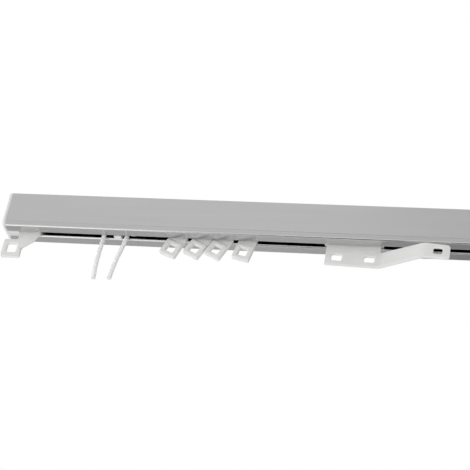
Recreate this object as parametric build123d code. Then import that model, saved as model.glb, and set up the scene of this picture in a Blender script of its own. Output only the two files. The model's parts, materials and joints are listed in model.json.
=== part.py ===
from build123d import *
import math
import os

# A corded curtain track: an aluminium profile with a slot along its underside, hung from a groove in
# its top. Inside it a cord runs from two drop pulleys at the left end, along an upper lane, round a
# return pulley at the right end and back along a lower lane, where it draws a master carrier on wheels.
# Millimetres. X runs along the track, Y from front to back and Z up, with the origin in the middle of
# the top face, at the mouth of the clip groove. Stations are measured from the left end of the profile.

# Track profile
TRACK_LENGTH = 600.0
TRACK_HEIGHT = 25.0
TRACK_DEPTH = 20.0
SIDE_WALL = 1.3
TOP_LIP = 1.2
GROOVE_MOUTH = 8.0
GROOVE_WIDTH = 12.0
GROOVE_HEIGHT = 3.4
WEB = 1.1
BOTTOM_LIP = 1.3
SLOT_WIDTH = 4.0
CHANNEL_HEIGHT = 5.0
RIB = 1.0
RIB_GAP = 10.0
TOP_RADIUS = 1.0
BOTTOM_RADIUS = 1.0
LIP_RADIUS = 1.0
FACE_BAND = 3.3
FACE_BEVEL = 0.6
CREASE_STEP = 0.2

# Fits shared by the pieces inside the profile
FIT = 0.1
RUN_GAP = 0.1
SLOT_FIT = 0.15
AXLE_FIT = 0.02
BORE_PLAY = 0.06

# End caps
CAP_FLANGE = 2.1
CAP_EDGE = 0.5
PLUG_DEPTH = 7.4
TONGUE_INSET = 0.3

# End stop with its hook eye
STOP_STATION = 7.8
STOP_BLADE = 13.9
STOP_THICKNESS = 2.2
STOP_EYE_WIDTH = 12.9
STOP_EYE_HEIGHT = 13.4
STOP_EYE_OVERLAP = 3.7
STOP_EYE_DROP = 4.9
STOP_SHOULDER_DROP = 6.2
STOP_SHOULDER_INSET = 3.6
STOP_HEEL_DROP = 11.2
STOP_HOLE = 6.6
STOP_EDGE = 0.4
STOP_CORNER = 1.2

# Cord, its pulleys and the blocks that carry them
CORD_DIAMETER = 2.5
CORD_PLAY = 0.15
CORD_CLEAR = 0.3
BRIDGE = 0.8
FLANGE_RISE = 0.9
FLANGE_THICKNESS = 0.6
GROOVE_SIDES = 8
PULLEY_SIDE_PLAY = 0.3
PULLEY_FLOOR_GAP = 1.3
PULLEY_END_GAP = 1.2
AXLE_DIAMETER = 1.6
AXLE_SEAT = 1.0
BLOCK_WALL = 2.5
BLOCK_MARGIN = 2.0
BLOCK_GAP = 0.6
LEFT_DROP = 64.2
DROP_SPACING = 15.2
TAB_OFFSET = 7.0
TAB_LENGTH = 4.7
TAB_PROUD = 0.2
LEFT_TAIL_ROUTE = ((0.0, -8.0), (-0.8, -20.0), (-0.1, -31.2))
RIGHT_TAIL_ROUTE = ((0.0, -6.5), (-3.1, -18.6), (-5.2, -30.7))
ARC_SHARE = 0.45

# Gliders, from left to right
GLIDER_STATION = 113.9
GLIDER_LEANS = (22.5, 27.4, 26.8, 14.2)
GLIDER_SPACES = (3.3, 0.6, 2.2)
GLIDER_WIDTH = 11.4
GLIDER_EYE_HEIGHT = 11.2
GLIDER_EYE_DROP = 2.1
GLIDER_HOLE = 5.6
GLIDER_WEB = 1.6
GLIDER_RIM = 3.2
GLIDER_NECK_WIDTH = 6.0
GLIDER_CORNER = 1.0
GLIDER_EDGE = 0.5
HEAD_HEADROOM = 0.8
HEAD_SIDE_PLAY = 2.0
HEAD_STEP = 0.6

# Master carrier and its overlap arm
ARM_STATION = 207.4
ARM_BLADE = 33.4
ARM_SLANT = 26.7
ARM_TIP = 15.6
ARM_JOGGLE = 15.2
ARM_LEAN = 1.8
ARM_THICKNESS = 2.0
ARM_HEIGHT = 10.05
ARM_TIP_HEIGHT = 9.4
ARM_TIP_DROOP = 0.75
ARM_DROP = 3.55
ARM_ROOT = 1.2
ARM_BEND = 8.0
ARM_CORNER = 2.2
ARM_EDGE = 0.3
ARM_SLOT_LENGTH = 6.5
ARM_SLOT_HEIGHT = 4.5
ARM_SLOT_RADIUS = 1.0
ARM_SLOT_DROP = 4.95
ARM_SLOT_INSETS = (7.0, 27.1)
ARM_TIP_SLOT_LENGTH = 5.4
ARM_TIP_SLOT_INSET = 7.1
RUNNER_OVERHANG = 1.5
RUNNER_SIDE_PLAY = 1.4
RUNNER_LIFT = 0.5
RUNNER_CAP = 1.4
RUNNER_CORNER = 1.5
BLADE_DEPTH = 4.6
WHEEL_HEADROOM = 0.4
WHEEL_SIDE_PLAY = 2.0
WHEEL_INNER_GAP = 0.4
WHEEL_EDGE = 0.35
WHEEL_INSET = 4.0
PIN_DIAMETER = 1.4
PIN_HEAD_DIAMETER = 2.4
PIN_HEAD = 0.4
PIN_END_PLAY = 0.2
CLAMP_DIAMETER = 3.0
CLAMP_PROUD = 1.2
CLAMP_SLOT = 0.6
CLAMP_SLOT_DEPTH = 0.7

# Levels and half-widths of the profile
underside = -TRACK_HEIGHT
groove_floor = -(TOP_LIP + GROOVE_HEIGHT)
chamber_top = groove_floor - WEB
lip_top = underside + BOTTOM_LIP
rib_bottom = lip_top + CHANNEL_HEIGHT
rib_top = rib_bottom + RIB
half_depth = TRACK_DEPTH / 2
inner_half = half_depth - SIDE_WALL
slot_half = SLOT_WIDTH / 2
rib_gap_half = RIB_GAP / 2
left_end = -TRACK_LENGTH / 2
right_end = TRACK_LENGTH / 2

# Lanes of the cord, and the pulleys that fill the height between them and the lips
cord_radius = CORD_DIAMETER / 2
groove_radius = cord_radius + CORD_PLAY
bridge_bottom = chamber_top - FIT - BRIDGE
upper_lane = bridge_bottom - CORD_PLAY - cord_radius
pitch_radius = (upper_lane - lip_top - FLANGE_RISE - PULLEY_FLOOR_GAP) / 4
lower_lane = upper_lane - 2 * pitch_radius
flange_radius = pitch_radius + FLANGE_RISE
pulley_half = groove_radius + FLANGE_THICKNESS
pocket_half = pulley_half + PULLEY_SIDE_PLAY
upper_centre = upper_lane - pitch_radius
lower_centre = lower_lane - pitch_radius
left_drop_x = left_end + LEFT_DROP
right_drop_x = left_drop_x + DROP_SPACING
left_pulley_x = left_drop_x + pitch_radius
right_pulley_x = right_drop_x + pitch_radius
return_block_end = right_end - PLUG_DEPTH - BLOCK_GAP
return_x = return_block_end - BLOCK_WALL - PULLEY_END_GAP - flange_radius


def band(half_width, low, high):
    """A rectangle of the cross-section, centred on the slot."""
    return Pos(0, (low + high) / 2) * Rectangle(2 * half_width, high - low)


def along_track(section, start, end):
    """Extrude a cross-section along the track."""
    return extrude(Plane.YZ.offset(start) * section, end - start)


def seen_from_front(outline, thickness):
    """Extrude an outline drawn from the front, evenly to both sides of the slot's middle."""
    return extrude(Plane.XZ * outline, thickness / 2, both=True)


def cross_pin(radius, half_length, x, z):
    """A round pin across the track."""
    return Pos(x, 0, z) * Rot(90, 0, 0) * Cylinder(radius, 2 * half_length)


def turned(profile, x, z):
    """Revolve a profile of radius and width about a cross axis of the track."""
    return Pos(x, 0, z) * revolve(profile, Axis.Y)


def outer_outline(crease_step=0.0):
    """The outside of the profile, with the lower band of the front face leaning in, or also set back."""
    crease = underside + FACE_BAND
    corners = [(-half_depth, crease), (-half_depth, 0), (half_depth, 0), (half_depth, underside)]
    corners.append((FACE_BEVEL - half_depth, underside))
    if crease_step:
        corners.append((crease_step - half_depth, crease))
    outline = make_face(Polyline(*corners, close=True))
    outline = fillet(outline.vertices().group_by(Axis.Y)[-1], TOP_RADIUS)
    return fillet(outline.vertices().group_by(Axis.Y)[0], BOTTOM_RADIUS)


def track_section():
    """The extruded section: crease, clip groove, cord chamber, ribs, runner channel and slot."""
    section = outer_outline(CREASE_STEP)
    section -= band(GROOVE_MOUTH / 2, -TOP_LIP, TOP_LIP)
    section -= band(GROOVE_WIDTH / 2, groove_floor, -TOP_LIP)
    section -= band(inner_half, rib_top, chamber_top)
    section -= band(rib_gap_half, rib_bottom, rib_top)
    section -= band(inner_half, lip_top, rib_bottom)
    section -= band(slot_half, underside - BOTTOM_LIP, lip_top)
    low = section.vertices().filter_by(lambda corner: corner.Y < underside + FIT)
    return fillet(low.filter_by(lambda corner: abs(corner.X) < slot_half + FIT), LIP_RADIUS)


def block_section():
    """The inverted tee that fills the runner channel and rises between the ribs."""
    foot = band(inner_half - FIT, lip_top, rib_bottom - FIT)
    return foot + band(rib_gap_half - FIT, lip_top, chamber_top - FIT)


def end_cap(face, outward):
    """A flange over the end of the profile, with a plug inside and a tongue in the slot."""
    flange = along_track(outer_outline(), face, face + outward * CAP_FLANGE)
    rim = flange.faces().sort_by(Axis.X)[-1 if outward > 0 else 0].edges()
    flange = chamfer(rim, CAP_EDGE)
    inner = face - outward * PLUG_DEPTH
    plug = along_track(block_section(), inner, face)
    tongue = along_track(band(slot_half - SLOT_FIT, underside + TONGUE_INSET, lip_top), inner, face)
    return flange + plug + tongue


def end_stop():
    """A head in the channel, a blade through the slot and a hook eye hung beside it."""
    left = left_end + STOP_STATION
    right = left + STOP_BLADE
    eye_right = left + STOP_EYE_OVERLAP
    eye_left = eye_right - STOP_EYE_WIDTH
    eye_top = underside - STOP_EYE_DROP
    eye_bottom = eye_top - STOP_EYE_HEIGHT
    shoulder = (right - STOP_SHOULDER_INSET, underside - STOP_SHOULDER_DROP)
    heel = (eye_right, underside - STOP_HEEL_DROP)
    blade_top = [(right, rib_bottom - FIT), (left, rib_bottom - FIT)]
    eye = [(left, eye_top), (eye_left, eye_top), (eye_left, eye_bottom), (eye_right, eye_bottom)]
    outline = make_face(Polyline(*blade_top, *eye, heel, shoulder, (right, underside), close=True))
    outline = fillet(outline.vertices().filter_by(lambda v: v.Y < underside - FIT), STOP_CORNER)
    middle = ((eye_left + eye_right) / 2, (eye_top + eye_bottom) / 2)
    outline -= Pos(*middle) * RectangleRounded(STOP_HOLE, STOP_HOLE, STOP_CORNER)
    plate = seen_from_front(outline, STOP_THICKNESS)
    faces = plate.faces().sort_by(Axis.Y)
    plate = chamfer(faces[0].edges() + faces[-1].edges(), STOP_EDGE)
    head = band(inner_half - FIT, lip_top, rib_bottom - FIT)
    return plate + along_track(head, left, right)


def pulley(x, z):
    """A grooved wheel for the cord."""
    bore = AXLE_DIAMETER / 2 + BORE_PLAY
    rim = Pos((bore + flange_radius) / 2, 0) * Rectangle(flange_radius - bore, 2 * pulley_half)
    turn = 180 / GROOVE_SIDES
    groove = RegularPolygon(groove_radius, GROOVE_SIDES, major_radius=False, rotation=turn)
    mouth = Pos(FLANGE_RISE, 0) * Rectangle(2 * FLANGE_RISE, 2 * groove_radius)
    return turned(rim - Pos(pitch_radius, 0) * (groove + mouth), x, z)


def axle(x, z):
    """The pin that a pulley turns on, flush with the cheeks of its block."""
    return cross_pin(AXLE_DIAMETER / 2, rib_gap_half - FIT, x, z)


def axle_hole(x, z):
    return cross_pin(AXLE_DIAMETER / 2 + AXLE_FIT, half_depth, x, z)


def drop_pulley_block():
    """Two cheeks under a bridge, on a foot whose lock tab stands in the slot between the cords."""
    start = left_drop_x - cord_radius - PULLEY_END_GAP - BLOCK_WALL
    end = right_pulley_x + flange_radius + BLOCK_MARGIN
    cheek_bottom = lower_centre - AXLE_DIAMETER / 2 - AXLE_SEAT
    body = along_track(band(rib_gap_half - FIT, cheek_bottom, chamber_top - FIT), start, end)
    body -= along_track(band(pocket_half, underside, bridge_bottom), start + BLOCK_WALL, end)
    tab_start = left_drop_x + TAB_OFFSET
    tab_end = tab_start + TAB_LENGTH
    body += along_track(band(inner_half - FIT, lip_top, rib_bottom - FIT), tab_start, tab_end)
    body += along_track(band(slot_half - SLOT_FIT, underside - TAB_PROUD, lip_top), tab_start, tab_end)
    body -= axle_hole(left_pulley_x, upper_centre)
    return body - axle_hole(right_pulley_x, lower_centre)


def return_pulley_block():
    """The far block, with a pocket that is open towards the cord."""
    start = return_x - flange_radius - BLOCK_MARGIN
    pocket_floor = min(upper_centre - flange_radius, lower_lane - cord_radius) - CORD_CLEAR
    pocket = band(pocket_half, pocket_floor, bridge_bottom)
    body = along_track(block_section(), start, return_block_end)
    body -= along_track(pocket, start, return_block_end - BLOCK_WALL)
    return body - axle_hole(return_x, upper_centre)


def cord_along(path):
    """A plain round cord along a path, and a printed test of its volume."""
    start = Plane(path @ 0, z_dir=path % 0)
    cord = sweep(start * Circle(cord_radius), path)
    plain = math.pi * cord_radius**2 * path.length
    print(f"cord of {path.length:.1f} mm, volume {cord.volume / plain:.4f} of section times length")
    return cord


def draw_cord():
    """The cord inside the track, from one drop to the other by way of the return pulley."""
    with BuildLine(Plane.XZ) as path:
        Line((left_drop_x, lip_top), (left_drop_x, upper_centre))
        CenterArc((left_pulley_x, upper_centre), pitch_radius, 180, -90)
        Line((left_pulley_x, upper_lane), (return_x, upper_lane))
        CenterArc((return_x, upper_centre), pitch_radius, 90, -180)
        Line((return_x, lower_lane), (right_pulley_x, lower_lane))
        CenterArc((right_pulley_x, lower_centre), pitch_radius, 90, 90)
        Line((right_drop_x, lower_centre), (right_drop_x, lip_top))
    return cord_along(path.wire())


def cord_tail(drop_x, route):
    """A hanging end of the cord, with arcs as large as its runs allow."""
    points = [Vector(drop_x, 0, lip_top)]
    points += [Vector(drop_x + x, 0, underside + z) for x, z in route]
    radii = []
    for before, corner, after in zip(points, points[1:], points[2:]):
        turn = math.radians((corner - before).get_angle(after - corner))
        shorter = min((corner - before).length, (after - corner).length)
        radii.append(ARC_SHARE * shorter / math.tan(turn / 2))
    print("tail radii", [round(radius, 1) for radius in radii])
    return cord_along(FilletPolyline(*points, radius=radii))


def glider(x, lean):
    """A moulded glider: a round cross head on the lips, a web through the slot and a square eye."""
    head_radius = (CHANNEL_HEIGHT - HEAD_HEADROOM) / 2
    head_half = inner_half - HEAD_SIDE_PLAY
    eye_top = -(head_radius + RUN_GAP + BOTTOM_LIP + GLIDER_EYE_DROP)
    eye_middle = eye_top - GLIDER_EYE_HEIGHT / 2
    half = GLIDER_WIDTH / 2
    neck = GLIDER_NECK_WIDTH / 2
    right_side = [(neck, head_radius), (half, 0), (half, eye_middle)]
    left_side = [(-x_side, z) for x_side, z in reversed(right_side)]
    web = make_face(Polyline(*right_side, *left_side, close=True))
    hole = Pos(0, eye_middle) * RectangleRounded(GLIDER_HOLE, GLIDER_HOLE, GLIDER_CORNER / 2)
    eye = Pos(0, eye_middle) * RectangleRounded(GLIDER_WIDTH, GLIDER_EYE_HEIGHT, GLIDER_CORNER)
    rim = seen_from_front(eye - hole, GLIDER_RIM)
    faces = rim.faces().sort_by(Axis.Y)
    rim = chamfer(faces[0].edges() + faces[-1].edges(), GLIDER_EDGE)
    body = rim + seen_from_front(web - hole, GLIDER_WEB)
    body += cross_pin(head_radius - HEAD_STEP, head_half, 0, 0)
    roller = head_half - slot_half
    for side in (-1, 1):
        body += Pos(0, side * (head_half - roller / 2), 0) * Rot(90, 0, 0) * Cylinder(head_radius, roller)
    return Pos(x, 0, lip_top + head_radius + RUN_GAP) * Rot(0, lean, 0) * body


def glider_stations():
    """Where each glider's head lies, with the eyes of neighbours a small space apart."""
    stations = [left_end + GLIDER_STATION]
    for lean, next_lean, space in zip(GLIDER_LEANS, GLIDER_LEANS[1:], GLIDER_SPACES):
        width = GLIDER_WIDTH / math.cos(math.radians(max(lean, next_lean)))
        stations.append(stations[-1] + width + space)
    return stations


# The master carrier rolls on four wheels, with the arm's blade pinned between the runner's cheeks.
arm_left = left_end + ARM_STATION
blade_right = arm_left + ARM_BLADE
slant_right = blade_right + ARM_SLANT
arm_right = slant_right + ARM_TIP
arm_top = underside - ARM_DROP
wheel_radius = (CHANNEL_HEIGHT - WHEEL_HEADROOM) / 2
wheel_z = lip_top + wheel_radius + RUN_GAP
runner_half = rib_gap_half - RUNNER_SIDE_PLAY
wheel_inner = runner_half + WHEEL_INNER_GAP
wheel_outer = inner_half - WHEEL_SIDE_PLAY
wheel_stations = (arm_left + WHEEL_INSET, blade_right - WHEEL_INSET)
blade_top = lip_top + BLADE_DEPTH
runner_top = lower_lane + cord_radius + CORD_CLEAR + RUNNER_CAP
clamp_x = (arm_left + blade_right) / 2


def pin_hole(x):
    return cross_pin(PIN_DIAMETER / 2 + AXLE_FIT, half_depth, x, wheel_z)


def arm_outline():
    """The strip of the arm from the front: narrower along its slant, with a tip that droops."""
    tip_top = arm_top - ARM_TIP_DROOP
    top_edge = [(arm_left, arm_top), (slant_right, arm_top), (arm_right, tip_top)]
    tip_foot = [(arm_right, tip_top - ARM_TIP_HEIGHT), (slant_right, arm_top - ARM_TIP_HEIGHT)]
    blade_foot = [(blade_right, arm_top - ARM_HEIGHT), (arm_left, arm_top - ARM_HEIGHT)]
    outline = make_face(Polyline(*top_edge, *tip_foot, *blade_foot, close=True))
    return fillet(outline.vertices().group_by(Axis.X)[-1], ARM_CORNER)


def arm_strip():
    """The slotted strip of the arm, which joggles forward past the front face."""
    plan = [(arm_left, 0), (blade_right, 0), (slant_right, -ARM_JOGGLE), (arm_right, -ARM_JOGGLE)]
    path = Pos(0, 0, arm_top - ARM_HEIGHT / 2) * FilletPolyline(*plan, radius=ARM_BEND)
    start = Plane(path @ 0, x_dir=(0, 1, 0), z_dir=(1, 0, 0))
    strip = sweep(start * Rectangle(ARM_THICKNESS, 2 * ARM_HEIGHT), path)
    strip &= seen_from_front(arm_outline(), 4 * ARM_JOGGLE)
    slots = [(arm_left + inset, 0, ARM_SLOT_LENGTH) for inset in ARM_SLOT_INSETS]
    slots.append((arm_right - ARM_TIP_SLOT_INSET, -ARM_JOGGLE, ARM_TIP_SLOT_LENGTH))
    for x, y, length in slots:
        slot = RectangleRounded(length, ARM_SLOT_HEIGHT, ARM_SLOT_RADIUS)
        strip -= Pos(x, y, arm_top - ARM_SLOT_DROP) * seen_from_front(slot, 2 * ARM_THICKNESS)
    broad = strip.faces().filter_by(Axis.Y).sort_by(Axis.Y)
    rims = [face.inner_wires()[0].edges() for face in broad if face.inner_wires()]
    return chamfer([edge for rim in rims for edge in rim], ARM_EDGE)


def overlap_arm():
    """The strip, leaning a little as it hangs, with the blade that stands in the slot."""
    pivot = Pos(clamp_x, 0, underside)
    arm = pivot * Rot(0, ARM_LEAN, 0) * pivot.inverse() * arm_strip()
    blade_bottom = arm_top - ARM_ROOT
    blade = Pos(clamp_x, (blade_bottom + blade_top) / 2) * Rectangle(ARM_BLADE, blade_top - blade_bottom)
    arm += seen_from_front(blade, ARM_THICKNESS)
    for x in wheel_stations:
        arm -= pin_hole(x)
    return arm


def carrier_runner():
    """The body of the carrier, with a slot for the blade and a hole for the lower cord run."""
    start = arm_left - RUNNER_OVERHANG
    end = blade_right + RUNNER_OVERHANG
    body = along_track(band(runner_half, lip_top + RUNNER_LIFT, runner_top), start, end)
    body = fillet(body.edges().filter_by(Axis.Z), RUNNER_CORNER)
    blade_seat = band(ARM_THICKNESS / 2 + AXLE_FIT, underside, blade_top + AXLE_FIT)
    body -= along_track(blade_seat, arm_left - AXLE_FIT, blade_right + AXLE_FIT)
    body -= along_track(Pos(0, lower_lane) * Circle(cord_radius + CORD_CLEAR), start, end)
    clamp_depth = runner_top - lower_lane
    clamp_hole = Cylinder(CLAMP_DIAMETER / 2 + AXLE_FIT, clamp_depth)
    body -= Pos(clamp_x, 0, runner_top - clamp_depth / 2) * clamp_hole
    for x in wheel_stations:
        body -= pin_hole(x)
    return body


def carrier_wheel(x, side):
    """A plain roller beside the runner."""
    bore = PIN_DIAMETER / 2 + BORE_PLAY
    width = wheel_outer - wheel_inner
    profile = Pos((bore + wheel_radius) / 2, 0) * Rectangle(wheel_radius - bore, width)
    profile = chamfer(profile.vertices().group_by(Axis.X)[-1], WHEEL_EDGE)
    return Pos(0, side * (wheel_inner + wheel_outer) / 2, 0) * turned(profile, x, wheel_z)


def carrier_axle(x):
    """A pin through the runner and the blade, headed outside both wheels."""
    head_start = wheel_outer + PIN_END_PLAY
    pin = cross_pin(PIN_DIAMETER / 2, head_start, x, wheel_z)
    for side in (-1, 1):
        head = cross_pin(PIN_HEAD_DIAMETER / 2, PIN_HEAD / 2, x, wheel_z)
        pin += Pos(0, side * (head_start + PIN_HEAD / 2), 0) * head
    return pin


def cord_clamp_screw():
    """A slotted screw from the top of the runner down to the cord."""
    low = lower_lane + cord_radius + CORD_CLEAR
    high = runner_top + CLAMP_PROUD
    screw = Pos(0, 0, (low + high) / 2) * Cylinder(CLAMP_DIAMETER / 2, high - low)
    screw -= Pos(0, 0, high) * Box(2 * CLAMP_DIAMETER, CLAMP_SLOT, 2 * CLAMP_SLOT_DEPTH)
    return Pos(clamp_x, 0, 0) * screw


nodes = {
    "track_profile": along_track(track_section(), left_end, right_end),
    "left_end_cap": end_cap(left_end, -1),
    "right_end_cap": end_cap(right_end, 1),
    "end_stop": end_stop(),
    "drop_pulley_block": drop_pulley_block(),
    "drop_pulley_left": pulley(left_pulley_x, upper_centre),
    "drop_pulley_right": pulley(right_pulley_x, lower_centre),
    "drop_axle_left": axle(left_pulley_x, upper_centre),
    "drop_axle_right": axle(right_pulley_x, lower_centre),
    "return_pulley_block": return_pulley_block(),
    "return_pulley": pulley(return_x, upper_centre),
    "return_axle": axle(return_x, upper_centre),
    "draw_cord": draw_cord(),
    "cord_tail_left": cord_tail(left_drop_x, LEFT_TAIL_ROUTE),
    "cord_tail_right": cord_tail(right_drop_x, RIGHT_TAIL_ROUTE),
    "overlap_arm": overlap_arm(),
    "carrier_runner": carrier_runner(),
    "carrier_axle_left": carrier_axle(wheel_stations[0]),
    "carrier_axle_right": carrier_axle(wheel_stations[1]),
    "cord_clamp_screw": cord_clamp_screw(),
}
wheel_places = [(x, side) for x in wheel_stations for side in (-1, 1)]
for number, (x, side) in enumerate(wheel_places, 1):
    nodes[f"carrier_wheel_{number}"] = carrier_wheel(x, side)
for number, (x, lean) in enumerate(zip(glider_stations(), GLIDER_LEANS), 1):
    nodes[f"glider_{number}"] = glider(x, lean)

os.makedirs("parts", exist_ok=True)
for name, shape in nodes.items():
    export_step(shape, f"parts/{name}.step")
print(len(nodes), "nodes written")
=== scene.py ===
# %% [markdown]
# # A corded curtain track, seen from below
# The track is an aluminium extrusion with a slot along its underside. White mouldings hang from the
# slot: an end stop, four gliders and an arm on a carrier, with two cord ends between them. The rigid
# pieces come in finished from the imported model, at their real size. This file gives them surfaces,
# makes the braided cord ends, and sets up the camera and the light.

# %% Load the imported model
import json
import math

import bpy
from mathutils import Matrix, Vector


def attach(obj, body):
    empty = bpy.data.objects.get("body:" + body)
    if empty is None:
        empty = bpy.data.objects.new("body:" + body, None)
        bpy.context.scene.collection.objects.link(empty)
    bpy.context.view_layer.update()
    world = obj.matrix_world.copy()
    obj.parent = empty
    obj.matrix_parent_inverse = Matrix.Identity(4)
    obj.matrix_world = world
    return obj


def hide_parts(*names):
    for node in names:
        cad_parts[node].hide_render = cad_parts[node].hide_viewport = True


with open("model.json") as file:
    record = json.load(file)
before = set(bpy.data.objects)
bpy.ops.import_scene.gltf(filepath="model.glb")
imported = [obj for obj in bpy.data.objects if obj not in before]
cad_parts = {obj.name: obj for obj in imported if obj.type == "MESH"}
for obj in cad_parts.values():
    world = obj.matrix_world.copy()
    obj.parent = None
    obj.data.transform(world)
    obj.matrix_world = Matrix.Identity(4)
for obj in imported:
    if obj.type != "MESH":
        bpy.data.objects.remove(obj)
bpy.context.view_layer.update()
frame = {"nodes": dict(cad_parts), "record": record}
nodes = frame["nodes"]
scene = bpy.context.scene
scene.view_settings.view_transform = "Standard"
MM = 0.001

# %% [markdown]
# ## Camera
# The photograph looks up at the track from in front of its left half, with the camera rolled a little.
# The place could be found by eye, but a straight track gives long edges to measure, so the distance,
# the angles and the lens were fitted to those edges. They are kept here as sizes of the set-up.

# %% Camera
AIM = Vector((-151.6, 1.8, -18.2)) * MM
DISTANCE = 787.8 * MM
AZIMUTH, ELEVATION, ROLL = map(math.radians, (13.05, -32.55, 9.45))
LENS, SENSOR = 95.75, 36.0


def make_camera():
    """A camera at the photograph's viewing angle."""
    data = bpy.data.cameras.new("camera")
    data.lens = LENS
    data.sensor_width = SENSOR
    camera = bpy.data.objects.new("camera", data)
    scene.collection.objects.link(camera)
    flat = math.cos(ELEVATION)
    back = Vector((math.sin(AZIMUTH) * flat, -math.cos(AZIMUTH) * flat, math.sin(ELEVATION)))
    upright = (-back).to_track_quat("-Z", "Y").to_matrix().to_4x4()
    rolled = upright @ Matrix.Rotation(ROLL, 4, "Z")
    camera.matrix_world = Matrix.Translation(AIM + DISTANCE * back) @ rolled
    scene.camera = camera
    return camera


camera = make_camera()
print("camera at, in mm:", [round(v / MM) for v in camera.location])

# %% [markdown]
# ## Cord ends
# The drawing cord is a braid of eight yarns about a soft core. A bevelled curve would give a plain
# tube. Here each route is a smooth NURBS curve, and eight flat yarns wind round the points read from
# it, four each way. Their distance from the middle rises and falls, so that each passes over one yarn
# and under the next. A braid that hangs slack swells a little over the size it has under pull, so the
# yarns stand that much further out.

# %% The route of each cord end
CORD_DIAMETER = 2.5 * MM
CORD_ROUTES = {
    "left": ((-235.8, -23.7), (-236.3, -33.0), (-237.1, -45.0), (-236.4, -56.2)),
    "right": ((-220.6, -23.7), (-221.8, -31.5), (-225.0, -43.6), (-226.3, -55.7)),
}
STEPS_PER_SPAN = 48


def route_points(name, corners):
    """Points along the smooth curve that has these corners, given as X and Z in millimetres."""
    curve = bpy.data.curves.new(name, "CURVE")
    curve.dimensions = "3D"
    curve.resolution_u = STEPS_PER_SPAN
    spline = curve.splines.new("NURBS")
    spline.points.add(len(corners) - 1)
    for point, (x, z) in zip(spline.points, corners):
        point.co = (x * MM, 0, z * MM, 1)
    spline.order_u = 3
    spline.use_endpoint_u = True
    holder = bpy.data.objects.new(name, curve)
    line = bpy.data.meshes.new_from_object(holder)
    points = [vertex.co.copy() for vertex in line.vertices]
    bpy.data.objects.remove(holder)
    bpy.data.meshes.remove(line)
    return points


print("corners of the cord routes:", {side: len(corners) for side, corners in CORD_ROUTES.items()})

# %% Yarns round a route
YARNS_EACH_WAY = 4
BRAID_PITCH = 7.0 * MM
YARN_WIDTH = 1.25 * MM
YARN_THICKNESS = 0.42 * MM
YARN_WAVE = 0.12 * MM
BRAID_SWELL = 0.2 * MM
braid_radius = CORD_DIAMETER / 2 - YARN_THICKNESS / 2 - YARN_WAVE + BRAID_SWELL
print("yarns wind at, in mm from the middle:", round(braid_radius / MM, 2))


def stations(points):
    """Each point of a line with its length so far and two directions across it."""
    length = 0.0
    found = []
    for index, point in enumerate(points):
        ahead = points[min(index + 1, len(points) - 1)]
        behind = points[max(index - 1, 0)]
        if index:
            length += (point - points[index - 1]).length
        along = (ahead - behind).normalized()
        across = along.cross(Vector((0, 1, 0))).normalized()
        found.append((point, length, across, across.cross(along).normalized()))
    return found


# %% Sections of the yarns and the core, and the skin over them
YARN_SIDES = 8
CORE_RADIUS = 1.05 * MM
CORE_SIDES = 16


def add_tube(vertices, faces, rings):
    """Skin a row of rings and close both ends."""
    first, sides = len(vertices), len(rings[0])
    for ring in rings:
        vertices.extend(ring)
    for row in range(len(rings) - 1):
        for side in range(sides):
            here = first + row * sides + side
            beside = first + row * sides + (side + 1) % sides
            faces.append((here, beside, beside + sides, here + sides))
    last = first + (len(rings) - 1) * sides
    faces.append(tuple(range(first, first + sides))[::-1])
    faces.append(tuple(range(last, last + sides)))


def yarn_rings(line, way, number):
    """The flat sections of one yarn that winds one way round a line."""
    rings = []
    for point, length, across, aside in line:
        turn = 2 * math.pi * length / BRAID_PITCH
        angle = way * turn + 2 * math.pi * number / YARNS_EACH_WAY
        outward = math.cos(angle) * across + math.sin(angle) * aside
        round_it = math.cos(angle) * aside - math.sin(angle) * across
        middle = point + (braid_radius + way * YARN_WAVE * math.cos(YARNS_EACH_WAY * turn)) * outward
        ring = []
        for side in range(YARN_SIDES):
            bend = 2 * math.pi * side / YARN_SIDES
            ring.append(
                middle
                + YARN_WIDTH / 2 * math.cos(bend) * round_it
                + YARN_THICKNESS / 2 * math.sin(bend) * outward
            )
        rings.append(ring)
    return rings


def core_rings(line):
    """The round sections of the core."""
    rings = []
    for point, _, across, aside in line:
        turns = [2 * math.pi * side / CORE_SIDES for side in range(CORE_SIDES)]
        rings.append([point + CORE_RADIUS * (math.cos(t) * across + math.sin(t) * aside) for t in turns])
    return rings


print("sides of a yarn's section:", YARN_SIDES, "and of the core's:", CORE_SIDES)

# %% Both cord ends
def make_cord_end(side, corners):
    """One braided cord end, in place of its plain solid."""
    points = route_points(f"route_{side}", corners)
    line = stations(points)
    vertices, faces = [], []
    add_tube(vertices, faces, core_rings(line))
    for number in range(YARNS_EACH_WAY):
        for way in (1, -1):
            add_tube(vertices, faces, yarn_rings(line, way, number))
    mesh = bpy.data.meshes.new(f"braided_cord_{side}")
    mesh.from_pydata(vertices, [], faces)
    mesh.shade_smooth()
    cord = bpy.data.objects.new(f"braided_cord_{side}", mesh)
    scene.collection.objects.link(cord)
    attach(cord, "track")
    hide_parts(f"cord_tail_{side}")
    print(cord.name, "length in mm:", round(line[-1][1] / MM, 1), "faces:", len(faces))
    return cord


cords = [make_cord_end(side, corners) for side, corners in CORD_ROUTES.items()]

# %% [markdown]
# ## Finishes
# Every finish starts from what the real surface is. Colours are written as sRGB hex values, as they
# look on a screen, and one function turns them into the linear values that Blender works with. A
# second small function adds a node and fills its inputs, so that each finish reads as a short list.

# %% Colour and node helpers
def linear(hex_colour):
    """An sRGB hex value as linear red, green, blue and alpha."""
    parts = [int(hex_colour[i : i + 2], 16) / 255 for i in (1, 3, 5)]
    return [c / 12.92 if c <= 0.04045 else ((c + 0.055) / 1.055) ** 2.4 for c in parts] + [1.0]


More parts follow.
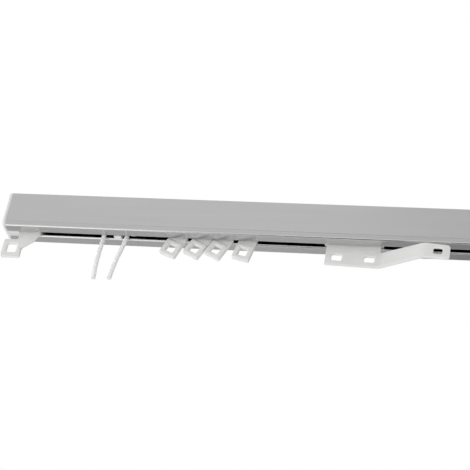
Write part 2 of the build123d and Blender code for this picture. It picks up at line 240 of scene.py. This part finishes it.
def add_node(tree, kind, inputs=None, **settings):
    """Add a node with its settings, and set or link each input by its name or number."""
    node = tree.nodes.new(kind)
    for name, value in settings.items():
        setattr(node, name, value)
    for key, value in (inputs or {}).items():
        if isinstance(value, bpy.types.NodeSocket):
            tree.links.new(value, node.inputs[key])
        else:
            node.inputs[key].default_value = value
    return node


def new_finish(name):
    """An empty material, its node tree, its shader's inputs and the place on the piece."""
    material = bpy.data.materials.new(name)
    material.use_nodes = True
    tree = material.node_tree
    place = add_node(tree, "ShaderNodeTexCoord").outputs["Object"]
    return material, tree, tree.nodes["Principled BSDF"].inputs, place


# The Mix node keeps its colour sockets beside those for numbers, so they are picked by place.
MIX_FACTOR, MIX_A, MIX_B, MIX_RESULT = 0, 6, 7, 2
print("white on a screen is", linear("#FFFFFF")[0], "and mid grey is", round(linear("#808080")[0], 3))

# %% [markdown]
# ## Anodised aluminium
# The profile is extruded through a die, etched matt and anodised clear. The die leaves faint lines
# along the metal, and the etch gives a soft, even reflection: a grey that follows what stands around
# it. The lines are noise that is stretched along the track. Real ones are finer than a pixel here, so
# they are drawn about half a millimetre wide. The inside of the channel is given a dark grey colour,
# which is painted shade that makes the slot look dark from below. A second material could do that,
# but the inside is easy to tell by its place, so one finish mixes both.

# %% The inside of the channel, where the shade is painted
CHANNEL_HALF = 8.7 * MM
CHANNEL_FLOOR = -23.7 * MM
CHANNEL_TOP = -5.7 * MM
SURFACE_MARGIN = 0.05 * MM


# The mask of the painted shade: the inside of the channel, which gets a dark grey colour.
def channel_shade_mask(tree, place):
    """One inside the profile's channel and nought outside it."""
    axes = add_node(tree, "ShaderNodeSeparateXYZ", {0: place}).outputs
    off_middle = add_node(tree, "ShaderNodeMath", {0: axes["Y"]}, operation="ABSOLUTE")
    limits = (
        (off_middle.outputs[0], "LESS_THAN", CHANNEL_HALF + SURFACE_MARGIN),
        (axes["Z"], "GREATER_THAN", CHANNEL_FLOOR - SURFACE_MARGIN),
        (axes["Z"], "LESS_THAN", CHANNEL_TOP + SURFACE_MARGIN),
    )
    inside = 1.0
    for value, side, limit in limits:
        test = add_node(tree, "ShaderNodeMath", {0: value, 1: limit}, operation=side)
        both = add_node(tree, "ShaderNodeMath", {0: inside, 1: test.outputs[0]}, operation="MULTIPLY")
        inside = both.outputs[0]
    return inside


print("channel from", round(CHANNEL_FLOOR / MM, 1), "to", round(CHANNEL_TOP / MM, 1), "mm")

# %% Anodised aluminium
DIE_LINE_WIDTH = 0.5 * MM
DIE_LINE_LENGTH = 180 * MM
DIE_LINE_DEPTH = 0.02 * MM
ETCH_BAND_WIDTH = 5.0 * MM
ETCH_BAND_LENGTH = 90 * MM


def satin_anodised_aluminium():
    """A soft grey mirror with lines along it, bright where the surroundings are, with painted shade
    inside the channel.
    """
    material, tree, surface, place = new_finish("satin_anodised_aluminium")
    line_scale = (1 / DIE_LINE_LENGTH, 1 / DIE_LINE_WIDTH, 1 / DIE_LINE_WIDTH)
    line_place = add_node(tree, "ShaderNodeMapping", {"Vector": place, "Scale": line_scale})
    line_noise = {"Vector": line_place.outputs[0], "Scale": 1.0, "Detail": 2.0}
    lines = add_node(tree, "ShaderNodeTexNoise", line_noise)
    band_scale = (1 / ETCH_BAND_LENGTH, 1 / ETCH_BAND_WIDTH, 1 / ETCH_BAND_WIDTH)
    band_place = add_node(tree, "ShaderNodeMapping", {"Vector": place, "Scale": band_scale})
    band_noise = {"Vector": band_place.outputs[0], "Scale": 1.0, "Detail": 1.0}
    bands = add_node(tree, "ShaderNodeTexNoise", band_noise)
    tones = {MIX_FACTOR: bands.outputs[0], MIX_A: linear("#CECECE"), MIX_B: linear("#D5D5D5")}
    etched = add_node(tree, "ShaderNodeMix", tones, data_type="RGBA")
    inside = channel_shade_mask(tree, place)
    # The dark grey inside the channel is painted shade, which darkens the slot.
    layers = {MIX_FACTOR: inside, MIX_A: etched.outputs[MIX_RESULT], MIX_B: linear("#2C2C2C")}
    colour = add_node(tree, "ShaderNodeMix", layers, data_type="RGBA")
    softness = {"Value": lines.outputs[0], "To Min": 0.2, "To Max": 0.28}
    roughness = add_node(tree, "ShaderNodeMapRange", softness)
    relief = {"Height": lines.outputs[0], "Strength": 0.05, "Distance": DIE_LINE_DEPTH}
    bump = add_node(tree, "ShaderNodeBump", relief)
    tree.links.new(colour.outputs[MIX_RESULT], surface["Base Color"])
    tree.links.new(roughness.outputs[0], surface["Roughness"])
    tree.links.new(bump.outputs[0], surface["Normal"])
    surface["Metallic"].default_value = 1.0
    return material


aluminium = satin_anodised_aluminium()
print(aluminium.name, "nodes:", len(aluminium.node_tree.nodes))

# %% [markdown]
# ## White nylon
# The end stop, gliders, arm and caps are moulded in white nylon. The mould is spark-eroded, which
# leaves a fine matt grain, and the plastic lets a little light in, so its edges look soft. The grain
# is a small noise in the bump, drawn coarse enough to show, over a slow change of tone.

# %% White nylon
ALL_COLOURS_ALIKE = (1.0, 1.0, 1.0)
NYLON_GRAIN = 0.3 * MM
NYLON_GRAIN_DEPTH = 0.03 * MM
NYLON_CLOUD = 9.0 * MM
NYLON_IOR = 1.53
NYLON_LIGHT_DEPTH = 1.5 * MM


def moulded_white_nylon():
    """A matt white with a broad, weak shine and soft edges."""
    material, tree, surface, place = new_finish("moulded_white_nylon")
    grain_noise = {"Vector": place, "Scale": 1 / NYLON_GRAIN, "Detail": 2.0}
    grain = add_node(tree, "ShaderNodeTexNoise", grain_noise)
    cloud_noise = {"Vector": place, "Scale": 1 / NYLON_CLOUD, "Detail": 1.0}
    cloud = add_node(tree, "ShaderNodeTexNoise", cloud_noise)
    tones = {MIX_FACTOR: cloud.outputs[0], MIX_A: linear("#DEDEDD"), MIX_B: linear("#E6E6E5")}
    colour = add_node(tree, "ShaderNodeMix", tones, data_type="RGBA")
    softness = {"Value": grain.outputs[0], "To Min": 0.38, "To Max": 0.5}
    roughness = add_node(tree, "ShaderNodeMapRange", softness)
    relief = {"Height": grain.outputs[0], "Strength": 0.15, "Distance": NYLON_GRAIN_DEPTH}
    bump = add_node(tree, "ShaderNodeBump", relief)
    tree.links.new(colour.outputs[MIX_RESULT], surface["Base Color"])
    tree.links.new(roughness.outputs[0], surface["Roughness"])
    tree.links.new(bump.outputs[0], surface["Normal"])
    surface["IOR"].default_value = NYLON_IOR
    surface["Subsurface Weight"].default_value = 0.7
    surface["Subsurface Radius"].default_value = ALL_COLOURS_ALIKE
    surface["Subsurface Scale"].default_value = NYLON_LIGHT_DEPTH
    return material


nylon = moulded_white_nylon()
print(nylon.name, "nodes:", len(nylon.node_tree.nodes))

# %% [markdown]
# ## Acetal and steel inside
# The pulleys, their blocks, the runner and its wheels are acetal, which is slippery and a little
# waxy, with faint flow marks from the mould. They turn on steel pins that are ground on a lathe, so
# fine rings run round each pin. Both are hidden from most sides, so each is a plain short finish.

# %% Acetal
FLOW_MARK = 2.5 * MM
ACETAL_IOR = 1.48
ACETAL_LIGHT_DEPTH = 0.8 * MM


def moulded_acetal():
    """A smooth off-white with a clearer shine than nylon."""
    material, tree, surface, place = new_finish("moulded_acetal")
    flow_noise = {"Vector": place, "Scale": 1 / FLOW_MARK, "Detail": 2.0}
    flow = add_node(tree, "ShaderNodeTexNoise", flow_noise)
    tones = {MIX_FACTOR: flow.outputs[0], MIX_A: linear("#DBDBD8"), MIX_B: linear("#E4E4E1")}
    colour = add_node(tree, "ShaderNodeMix", tones, data_type="RGBA")
    softness = {"Value": flow.outputs[0], "To Min": 0.28, "To Max": 0.36}
    roughness = add_node(tree, "ShaderNodeMapRange", softness)
    tree.links.new(colour.outputs[MIX_RESULT], surface["Base Color"])
    tree.links.new(roughness.outputs[0], surface["Roughness"])
    surface["IOR"].default_value = ACETAL_IOR
    surface["Subsurface Weight"].default_value = 0.1
    surface["Subsurface Radius"].default_value = ALL_COLOURS_ALIKE
    surface["Subsurface Scale"].default_value = ACETAL_LIGHT_DEPTH
    return material


acetal = moulded_acetal()
print(acetal.name, "nodes:", len(acetal.node_tree.nodes))

# %% Steel
GRINDING_RING = 0.15 * MM
RING_LENGTH = 6.0 * MM


def ground_steel():
    """A grey metal with rings across the pin that stretch its highlight."""
    material, tree, surface, place = new_finish("ground_steel")
    ring_scale = (1 / RING_LENGTH, 1 / GRINDING_RING, 1 / RING_LENGTH)
    ring_place = add_node(tree, "ShaderNodeMapping", {"Vector": place, "Scale": ring_scale})
    ring_noise = {"Vector": ring_place.outputs[0], "Scale": 1.0, "Detail": 2.0}
    rings = add_node(tree, "ShaderNodeTexNoise", ring_noise)
    tones = {MIX_FACTOR: rings.outputs[0], MIX_A: linear("#9C9C9D"), MIX_B: linear("#B2B2B2")}
    colour = add_node(tree, "ShaderNodeMix", tones, data_type="RGBA")
    softness = {"Value": rings.outputs[0], "To Min": 0.22, "To Max": 0.4}
    roughness = add_node(tree, "ShaderNodeMapRange", softness)
    tree.links.new(colour.outputs[MIX_RESULT], surface["Base Color"])
    tree.links.new(roughness.outputs[0], surface["Roughness"])
    surface["Metallic"].default_value = 1.0
    return material


steel = ground_steel()
print(steel.name, "nodes:", len(steel.node_tree.nodes))

# %% [markdown]
# ## Braided polyester
# Each yarn of the cord is a bundle of thin polyester filaments. They scatter light much as cloth
# does: nearly white, without a sharp highlight, and a little brighter at the edges, which is what
# sheen gives. The filaments are far finer than a pixel, so a coarser noise stands for them.

# %% Braided polyester
FILAMENT = 0.15 * MM
FILAMENT_DEPTH = 0.04 * MM


def braided_polyester():
    """A soft white of fine threads."""
    material, tree, surface, place = new_finish("braided_polyester")
    thread_noise = {"Vector": place, "Scale": 1 / FILAMENT, "Detail": 2.0}
    threads = add_node(tree, "ShaderNodeTexNoise", thread_noise)
    tones = {MIX_FACTOR: threads.outputs[0], MIX_A: linear("#F2F2F0"), MIX_B: linear("#FCFCFB")}
    colour = add_node(tree, "ShaderNodeMix", tones, data_type="RGBA")
    relief = {"Height": threads.outputs[0], "Strength": 0.3, "Distance": FILAMENT_DEPTH}
    bump = add_node(tree, "ShaderNodeBump", relief)
    tree.links.new(colour.outputs[MIX_RESULT], surface["Base Color"])
    tree.links.new(bump.outputs[0], surface["Normal"])
    surface["Roughness"].default_value = 0.7
    surface["Sheen Weight"].default_value = 0.2
    return material


polyester = braided_polyester()
print(polyester.name, "nodes:", len(polyester.node_tree.nodes))

# %% [markdown]
# ## Dress the pieces
# The record names a slot for every piece, so the finishes are handed out from it. The cord ends are
# made here and take theirs directly.

# %% Dress the pieces
finishes = {
    "anodised_aluminium": aluminium,
    "white_nylon": nylon,
    "acetal_works": acetal,
    "steel_pin": steel,
    "cord_fibre": polyester,
}
for subpart in frame["record"]["subparts"]:
    for slot in nodes[subpart["node"]].material_slots:
        slot.material = finishes[subpart["material_slot"]]
for cord in cords:
    cord.data.materials.append(finishes["cord_fibre"])
print("finishes handed out:", len(finishes))

# %% [markdown]
# ## World and floor
# A white studio room with a pale floor far below the track. The camera and the metal see both at
# nearly full white, while their light on matt surfaces is held lower, so that the lamps can shape the
# white mouldings. Light Path tells the two kinds of ray apart, in the world and in the floor alike.

# %% World
AMBIENT = 0.68


def seen_rays(tree):
    """One for rays of the camera, reflections and glass, and nought for the rest."""
    rays = add_node(tree, "ShaderNodeLightPath").outputs
    seen = rays["Is Camera Ray"]
    for kind in ("Is Glossy Ray", "Is Transmission Ray"):
        seen = add_node(tree, "ShaderNodeMath", {0: seen, 1: rays[kind]}, operation="MAXIMUM").outputs[0]
    return seen


def make_world():
    """White to the camera and in reflections, dimmer as light."""
    world = bpy.data.worlds.new("studio")
    world.use_nodes = True
    scene.world = world
    tree = world.node_tree
    shown = {"Value": seen_rays(tree), "To Min": AMBIENT, "To Max": 1.0}
    strength = add_node(tree, "ShaderNodeMapRange", shown)
    background = tree.nodes["Background"].inputs
    background["Color"].default_value = (1, 1, 1, 1)
    tree.links.new(strength.outputs[0], background["Strength"])


make_world()
print("world light on matt surfaces:", AMBIENT)

# %% [markdown]
# ## Floor, ceiling and cards
# Metal looks like what it mirrors, and in an all-white room this track would look white. So a matt
# ceiling hangs over the set, out of the camera's sight, and gives the faces their even grey. The
# underside mirrors the floor behind it, and the rounded edges mirror a narrow strip of the studio. A
# photographer tones those with cards, and so does this set: a dark card below the middle gives the
# right half of the front edge its thin dark line, and a pale and a grey one further back tone the left
# and right halves of the underside. The ceiling and the cards are there for reflections only.

# %% A sheet of the studio
PAPER_CLOUD = 0.4


def make_sheet(name, sides, level, tones):
    """A level sheet of the studio, which isn't part of the object, between two tones."""
    left, right, front, rear = sides
    corners = [(left, front, level), (right, front, level), (right, rear, level), (left, rear, level)]
    mesh = bpy.data.meshes.new(name)
    mesh.from_pydata(corners, [], [(0, 1, 2, 3)])
    sheet = bpy.data.objects.new(name, mesh)
    scene.collection.objects.link(sheet)
    material, tree, surface, place = new_finish(name)
    cloud = add_node(tree, "ShaderNodeTexNoise", {"Vector": place, "Scale": 1 / PAPER_CLOUD})
    darker, lighter = map(linear, tones)
    mixed = {MIX_FACTOR: cloud.outputs[0], MIX_A: darker, MIX_B: lighter}
    colour = add_node(tree, "ShaderNodeMix", mixed, data_type="RGBA")
    tree.links.new(colour.outputs[MIX_RESULT], surface["Base Color"])
    surface["Roughness"].default_value = 0.9
    surface["Specular IOR Level"].default_value = 0.0
    mesh.materials.append(material)
    return sheet


def brighten(sheet, glow):
    """Let the camera and the metal see a sheet brighter than its light on other things."""
    tree = sheet.data.materials[0].node_tree
    surface = tree.nodes["Principled BSDF"].inputs
    surface["Emission Color"].default_value = (1, 1, 1, 1)
    shown = add_node(tree, "ShaderNodeMath", {0: seen_rays(tree), 1: glow}, operation="MULTIPLY")
    tree.links.new(shown.outputs[0], surface["Emission Strength"])


print("clouds in the paper of the studio, in m:", PAPER_CLOUD)

# %% Floor and ceiling
FLOOR_LEVEL = -1.8
FLOOR_SIZE = 200.0
FLOOR_GLOW = 0.36
CEILING_LEVEL = 2.0
CEILING_SIZE = 80.0
CEILING_GLOW = 0.08


def square(size):
    """The left, right, front and rear of a square sheet about the middle."""
    return -size / 2, size / 2, -size / 2, size / 2


floor = make_sheet("pale_floor", square(FLOOR_SIZE), FLOOR_LEVEL, ("#ECECEC", "#F0F0F0"))
brighten(floor, FLOOR_GLOW)
ceiling = make_sheet("matt_ceiling", square(CEILING_SIZE), CEILING_LEVEL, ("#F0F0F0", "#F3F3F3"))
brighten(ceiling, CEILING_GLOW)
print("floor at", FLOOR_LEVEL, "m and ceiling at", CEILING_LEVEL, "m")

# %% Cards
CARD_LEVEL = -1.0
mirrored_only = [
    ceiling,
    make_sheet("dark_card", (-0.42, 0.9, -0.9, 0.18), CARD_LEVEL, ("#141414", "#181818")),
    make_sheet("pale_card", (-1.6, -0.2, 0.8, 3.6), CARD_LEVEL, ("#D0D0D0", "#D4D4D4")),
    make_sheet("grey_card", (-0.2, 1.2, 0.8, 3.0), CARD_LEVEL, ("#959595", "#999999")),
]
for sheet in mirrored_only:
    sheet.visible_camera = False
    sheet.visible_diffuse = False
    sheet.visible_shadow = False
print("seen in reflections only:", ", ".join(sheet.name for sheet in mirrored_only))

# %% [markdown]
# ## Lamps
# All are broad area lamps, like studio softboxes. The key stands high in front and shows as the mild
# brightening of the front face. A strip low on the left draws the bright line along the left half of
# the front edge. A fill lights the mouldings from in front, a side lamp gives the cords and the
# gliders their brighter left sides, and one behind shines through the thin nylon. These last three
# are left out of reflections, so that the metal shows the calm room and not a row of lamps.

# %% Lamps
def make_lamp(name, place, aim, size, watts, mirrored=True):
    """An area lamp that faces a point."""
    data = bpy.data.lights.new(name, "AREA")
    data.shape = "RECTANGLE"
    data.size, data.size_y = size
    data.energy = watts
    lamp = bpy.data.objects.new(name, data)
    lamp.location = place
    lamp.rotation_mode = "QUATERNION"
    lamp.rotation_quaternion = (Vector(aim) - Vector(place)).to_track_quat("-Z", "Y")
    lamp.visible_glossy = mirrored
    scene.collection.objects.link(lamp)
    return lamp


MIDDLE = (-0.15, 0, 0)
STRIP_AIM = (-0.82, 0, 0)
BROAD = (1.6, 1.2)
make_lamp("key", (-0.75, -1.5, 0.87), MIDDLE, (1.2, 1.1), watts=0.5)
make_lamp("edge_strip", (-0.82, -0.3, -1.3), STRIP_AIM, (0.6, 1.1), watts=1.5)
make_lamp("front_fill", (-0.4, -1.2, -1.15), MIDDLE, BROAD, watts=7.8, mirrored=False)
make_lamp("left_softbox", (-1.5, -0.5, 0), MIDDLE, (0.8, 0.8), watts=4.5, mirrored=False)
make_lamp("back_fill", (-0.6, 1.5, -0.7), MIDDLE, BROAD, watts=8.0, mirrored=False)
